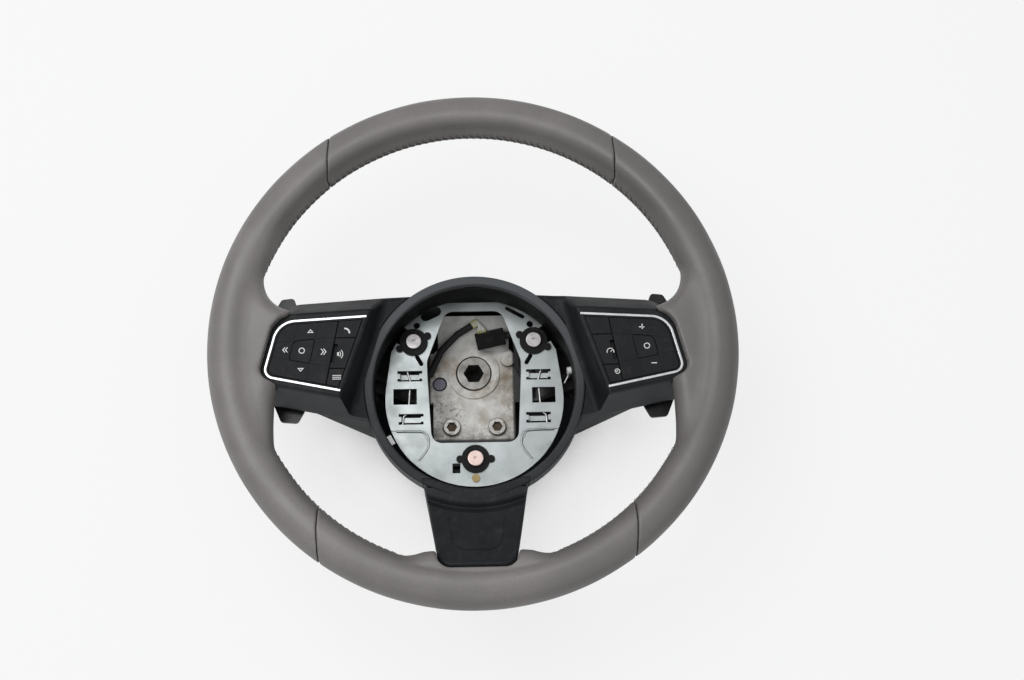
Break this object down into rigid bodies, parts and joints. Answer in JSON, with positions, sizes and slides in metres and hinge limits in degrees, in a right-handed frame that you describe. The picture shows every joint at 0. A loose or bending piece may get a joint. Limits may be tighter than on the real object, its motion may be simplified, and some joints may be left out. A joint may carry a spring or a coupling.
{
  "type": "car steering wheel",
  "caption": "Three-spoke car steering wheel with a leather rim, switch packs, shift paddles and an open hub showing the horn plate and column seat.",
  "frame": {"origin": "on the steering axis at the front face of the hexagonal column seat", "axes": "+Z along the steering axis towards the driver, +Y towards 12 o'clock, +X towards the right spoke"},
  "size_m": [0.375, 0.375, 0.1275],
  "materials": {
    "casting": "as cast, stained",
    "steel": "machined",
    "dark_steel": "blackened",
    "blue_pin": "moulded",
    "foam": "moulded",
    "leather": "smooth grained",
    "black_plastic": "fine grain",
    "bezel_plastic": "satin",
    "trim_chrome": "satin chrome",
    "board": "lacquered",
    "key_rubber": "moulded",
    "key_plastic": "satin",
    "gimbal_plastic": "moulded",
    "zinc_plate": "zinc plated, worn",
    "rivet_brass": "plain",
    "bolt_zinc": "zinc plated",
    "sleeve": "braided sleeve",
    "wire_yellow": "insulated",
    "white_plastic": "moulded",
    "wire_white": "insulated"
  },
  "bodies": {
    "wheel": {"armature": "casting", "hub_insert": "steel", "horn_springs": "steel", "left_paddle_pin": "steel", "right_paddle_pin": "steel", "hub_screws": "dark_steel", "rear_cover_screws": "dark_steel", "lock_pin": "blue_pin", "rim_foam": "foam", "leather_left": "leather", "leather_lower": "leather", "leather_right": "leather", "leather_upper": "leather", "hub_shroud": "black_plastic", "rear_cover": "black_plastic", "left_spoke_back": "black_plastic", "right_spoke_back": "black_plastic", "lower_spoke_cover": "black_plastic", "lower_spoke_back": "black_plastic", "left_switch_housing": "black_plastic", "right_switch_housing": "black_plastic", "harness_connector": "black_plastic", "left_spoke_bezel": "bezel_plastic", "right_spoke_bezel": "bezel_plastic", "left_chrome_trim": "trim_chrome", "right_chrome_trim": "trim_chrome", "left_switch_board": "board", "right_switch_board": "board", "left_key_mat": "key_rubber", "right_key_mat": "key_rubber", "horn_bolts": "bolt_zinc", "left_lead": "sleeve", "right_lead": "sleeve", "harness_wires": "wire_yellow", "contact_plug": "white_plastic", "edge_clip": "white_plastic", "contact_wire": "wire_white"},
    "horn_plate_body": {"horn_plate": "zinc_plate", "plate_rivet": "rivet_brass", "horn_collars": "black_plastic", "left_retaining_wire": "dark_steel", "right_retaining_wire": "dark_steel"},
    "left_gimbal_body": {"left_rocker_gimbal": "gimbal_plastic"},
    "left_pad_body": {"left_rocker_pad": "key_plastic"},
    "right_pad_body": {"right_rocker_pad": "key_plastic"},
    "left_paddle_body": {"left_paddle": "black_plastic"},
    "right_paddle_body": {"right_paddle": "black_plastic"},
    "left_upper_key_body": {"left_upper_key": "key_plastic"},
    "left_middle_key_body": {"left_middle_key": "key_plastic"},
    "left_lower_key_body": {"left_lower_key": "key_plastic"},
    "left_centre_body": {"left_centre_button": "key_plastic"},
    "right_upper_key_body": {"right_upper_key": "key_plastic"},
    "right_middle_key_body": {"right_middle_key": "key_plastic"},
    "right_lower_key_body": {"right_lower_key": "key_plastic"},
    "right_centre_body": {"right_centre_button": "key_plastic"}
  },
  "joints": [
    {"name": "horn_press", "type": "slide", "parent": "wheel", "child": "horn_plate_body", "axis": [0, 0, -1], "range_m": [0, 0.0018], "stiffness_N_per_m": 9000, "springref_m": -0.002, "deforming": ["horn_springs"]},
    {"name": "left_upper_key_press", "type": "slide", "parent": "wheel", "child": "left_upper_key_body", "axis": [0, 0, -1], "range_m": [0, 0.0008], "stiffness_N_per_m": 2500, "springref_m": -0.0004},
    {"name": "left_middle_key_press", "type": "slide", "parent": "wheel", "child": "left_middle_key_body", "axis": [0, 0, -1], "range_m": [0, 0.0008], "stiffness_N_per_m": 2500, "springref_m": -0.0004},
    {"name": "left_lower_key_press", "type": "slide", "parent": "wheel", "child": "left_lower_key_body", "axis": [0, 0, -1], "range_m": [0, 0.0008], "stiffness_N_per_m": 2500, "springref_m": -0.0004},
    {"name": "left_centre_press", "type": "slide", "parent": "wheel", "child": "left_centre_body", "axis": [0, 0, -1], "range_m": [0, 0.0008], "stiffness_N_per_m": 2500, "springref_m": -0.0004},
    {"name": "right_upper_key_press", "type": "slide", "parent": "wheel", "child": "right_upper_key_body", "axis": [0, 0, -1], "range_m": [0, 0.0008], "stiffness_N_per_m": 2500, "springref_m": -0.0004},
    {"name": "right_middle_key_press", "type": "slide", "parent": "wheel", "child": "right_middle_key_body", "axis": [0, 0, -1], "range_m": [0, 0.0008], "stiffness_N_per_m": 2500, "springref_m": -0.0004},
    {"name": "right_lower_key_press", "type": "slide", "parent": "wheel", "child": "right_lower_key_body", "axis": [0, 0, -1], "range_m": [0, 0.0008], "stiffness_N_per_m": 2500, "springref_m": -0.0004},
    {"name": "right_centre_press", "type": "slide", "parent": "wheel", "child": "right_centre_body", "axis": [0, 0, -1], "range_m": [0, 0.0008], "stiffness_N_per_m": 2500, "springref_m": -0.0004},
    {"name": "left_pad_up_down", "type": "hinge", "parent": "wheel", "child": "left_gimbal_body", "pos_m": [-0.121, -0.005, 0.0848], "axis": [1, 0, 0], "range_deg": [-2, 2], "stiffness_Nm_per_rad": 1.2},
    {"name": "left_pad_left_right", "type": "hinge", "parent": "left_gimbal_body", "child": "left_pad_body", "pos_m": [-0.121, -0.005, 0.0848], "axis": [0, 1, 0], "range_deg": [-2, 2], "stiffness_Nm_per_rad": 1.2},
    {"name": "right_pad_up_down", "type": "hinge", "parent": "wheel", "child": "right_pad_body", "pos_m": [0.121, -0.005, 0.0848], "axis": [1, 0, 0], "range_deg": [-2, 2], "stiffness_Nm_per_rad": 1.2},
    {"name": "left_paddle_pull", "type": "hinge", "parent": "wheel", "child": "left_paddle_body", "pos_m": [-0.1165, 0, 0.0486], "axis": [0, 1, 0], "range_deg": [0, 5], "stiffness_Nm_per_rad": 1.5, "springref_deg": -5.73},
    {"name": "right_paddle_pull", "type": "hinge", "parent": "wheel", "child": "right_paddle_body", "pos_m": [0.1165, 0, 0.0486], "axis": [0, -1, 0], "range_deg": [0, 5], "stiffness_Nm_per_rad": 1.5, "springref_deg": -5.73}
  ]
}
